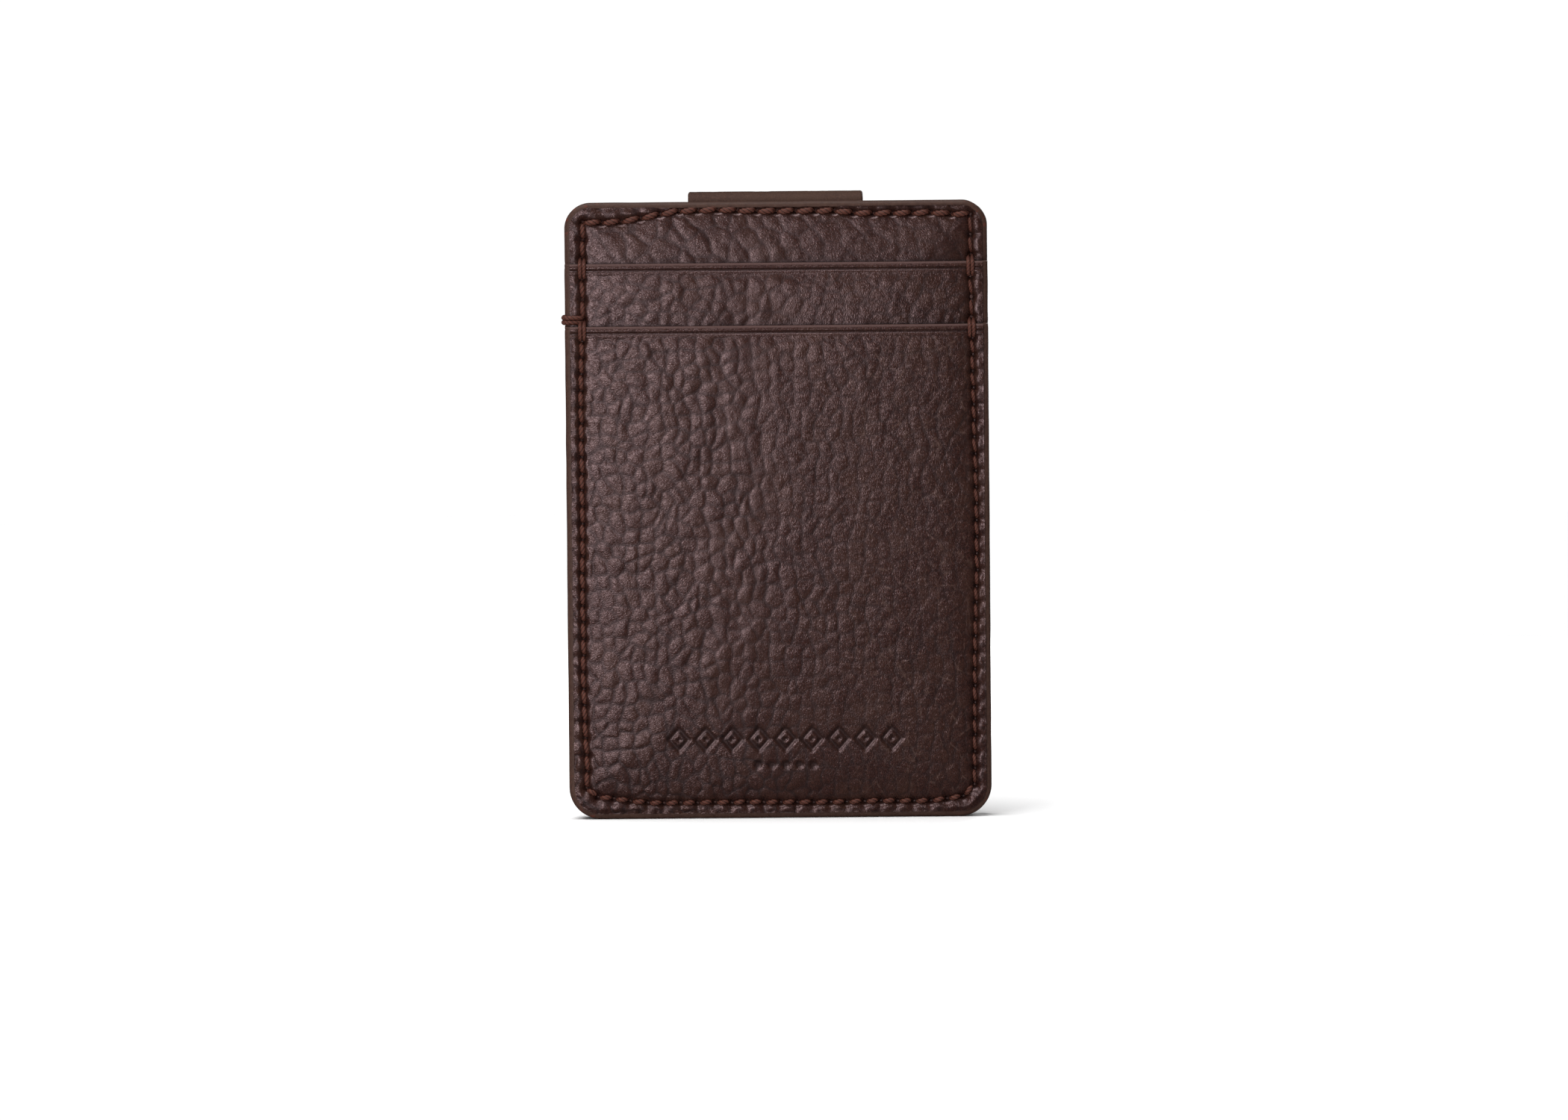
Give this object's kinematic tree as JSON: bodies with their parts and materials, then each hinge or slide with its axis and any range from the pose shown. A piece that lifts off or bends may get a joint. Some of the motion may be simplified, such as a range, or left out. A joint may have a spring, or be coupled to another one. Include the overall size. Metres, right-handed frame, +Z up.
{
  "type": "card wallet",
  "caption": "Slim upright leather card wallet with stepped card pockets in front and a folded magnetic money clip on the back.",
  "frame": {"origin": "middle of the flat bottom edge that the wallet stands on, midway between the back panel's outer face and the lower pocket's front face", "axes": "+Z up, along the wallet's height; +X to the right as seen from the pocket side; +Y out of the back, where the money clip is, so the pockets face -Y"},
  "size_m": [0.0704, 0.0123, 0.1036],
  "materials": {
    "leather": "dark brown pebbled grain, satin",
    "strap_leather": "dark brown, fine grain, satin",
    "edge_paint": "smooth satin edge paint",
    "lining": "matte, fine weave",
    "board": "plain bonded leather board",
    "thread": "twisted, lightly waxed",
    "magnet": "bright nickel plate"
  },
  "bodies": {
    "wallet_body": {"back_panel": "leather", "stiffener_board": "board", "front_panel": "leather", "upper_pocket_panel": "leather", "lower_pocket_panel": "leather", "upper_pocket_liner": "lining", "lower_pocket_liner": "lining", "upper_slot_seam_strip_left": "leather", "upper_slot_seam_strip_right": "leather", "upper_slot_seam_strip_bottom": "leather", "lower_slot_seam_strip_left": "leather", "lower_slot_seam_strip_right": "leather", "lower_slot_seam_strip_bottom": "leather", "painted_edge": "edge_paint", "edge_needle_thread": "thread", "edge_bobbin_thread": "thread", "edge_start_loop": "thread", "anchor_leather": "strap_leather", "anchor_board": "board", "anchor_magnet_left": "magnet", "anchor_magnet_right": "magnet", "anchor_lining": "lining", "anchor_lining_thread": "thread", "fold_leather": "strap_leather", "fold_lining": "lining"},
    "clip_flap": {"flap_leather": "strap_leather", "flap_board": "board", "flap_magnet_left": "magnet", "flap_magnet_right": "magnet", "flap_lining": "lining", "flap_lining_thread": "thread", "flap_outer_thread": "thread"}
  },
  "joints": [
    {"name": "clip_fold", "type": "hinge", "parent": "wallet_body", "child": "clip_flap", "pos_m": [0, 0.00611, 0.10281], "axis": [1, 0, 0], "range_deg": [0, 150], "stiffness_Nm_per_rad": 0.005, "springref_deg": -28.65, "deforming": ["fold_leather", "fold_lining"]}
  ]
}
